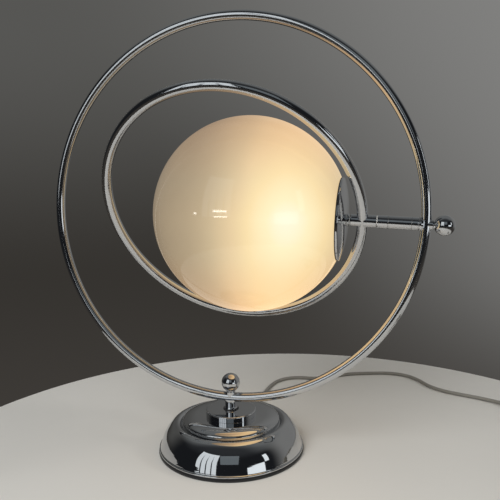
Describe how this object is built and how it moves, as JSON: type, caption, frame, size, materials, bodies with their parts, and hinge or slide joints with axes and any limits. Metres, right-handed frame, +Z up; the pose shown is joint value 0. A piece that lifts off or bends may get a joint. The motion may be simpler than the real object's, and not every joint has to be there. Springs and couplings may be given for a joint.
{
  "type": "glass globe table lamp",
  "caption": "Table lamp: opal glass globe on a horizontal arm inside two crossed chrome rings, the inner one turning on the arm, over a swivelling stem on a round spun chrome base.",
  "frame": {"origin": "centre of the base's underside, on the surface it stands on", "axes": "+Z up; +X towards the side of the outer ring that carries the arm and side finial; +Y to the back, where the lead leaves"},
  "size_m": [0.5639, 0.3866, 0.4595],
  "materials": {
    "chrome": "polished chrome plate",
    "black_rubber": "matte moulded rubber",
    "felt": "dense black felt",
    "zinc_steel": "zinc-plated steel",
    "cast_iron": "rough cast, painted dark grey",
    "nylon": "natural nylon",
    "opal_glass": "glossy opal glass",
    "bulb_glass": "frosted bulb",
    "bulb_cap": "drawn thread",
    "holder_plastic": "moulded thermoset",
    "brass": "bright",
    "cord_pvc": "smooth translucent grey flexible plastic",
    "switch_key": "smooth plastic",
    "wire_insulation": "smooth"
  },
  "bodies": {
    "base": {"base_shell": "chrome", "foot_ring": "black_rubber", "base_felt": "felt", "base_plate": "zinc_steel", "ballast": "cast_iron", "plate_screws": "zinc_steel", "step_disc": "chrome", "collar_disc": "chrome", "base_tube": "zinc_steel", "base_nuts": "zinc_steel", "base_washers": "zinc_steel", "swivel_washers": "nylon", "stop_pin": "zinc_steel", "strain_relief": "cord_pvc", "lead_in": "cord_pvc", "cord_clamp": "nylon", "clamp_screws": "zinc_steel", "terminal_block": "nylon", "wires_base": "wire_insulation", "cord_lead": "cord_pvc", "cord_link": "cord_pvc", "cord_coil": "cord_pvc", "cord_tail": "cord_pvc", "switch_lower": "cord_pvc", "switch_upper": "cord_pvc", "switch_pin": "zinc_steel", "switch_screws": "zinc_steel", "plug_body": "cord_pvc", "plug_pins": "brass"},
    "ring_frame": {"swivel_spindle": "zinc_steel", "spindle_nuts": "zinc_steel", "stop_washer": "zinc_steel", "stem": "chrome", "outer_ring": "chrome", "finial_washers": "chrome", "ball_finial_lower": "chrome", "ball_finial_side": "chrome", "arm_rod": "zinc_steel", "arm_end_collar": "chrome", "arm_tube": "chrome", "arm_sleeve": "chrome", "arm_friction_washers": "nylon", "gallery_dome": "chrome", "gallery_neck": "chrome", "globe_gasket": "black_rubber", "globe": "opal_glass", "globe_spring": "zinc_steel", "rod_nuts": "zinc_steel", "gallery_spacer": "zinc_steel", "holder_cap": "holder_plastic", "holder_shell": "holder_plastic", "holder_insert": "holder_plastic", "holder_contacts": "brass", "bulb_base": "bulb_cap", "bulb_glass": "bulb_glass", "wires_frame": "wire_insulation"},
    "inner_ring": {"inner_ring": "chrome", "saddle_sleeve_outer": "chrome", "saddle_sleeve_inner": "chrome"},
    "rocker": {"switch_rocker": "switch_key"}
  },
  "joints": [
    {"name": "ring_swivel", "type": "hinge", "parent": "base", "child": "ring_frame", "pos_m": [0, 0, 0.0435], "axis": [0, 0, 1], "range_deg": [-160, 160]},
    {"name": "inner_ring_turn", "type": "hinge", "parent": "ring_frame", "child": "inner_ring", "pos_m": [0.1388, 0, 0.24798], "axis": [0.9985, 0, -0.0541], "continuous": true},
    {"name": "switch_rock", "type": "hinge", "parent": "base", "child": "rocker", "pos_m": [0.32577, 0.13102, 0.0138], "axis": [0.9659, 0.2588, 0], "range_deg": [-14, 0]}
  ]
}
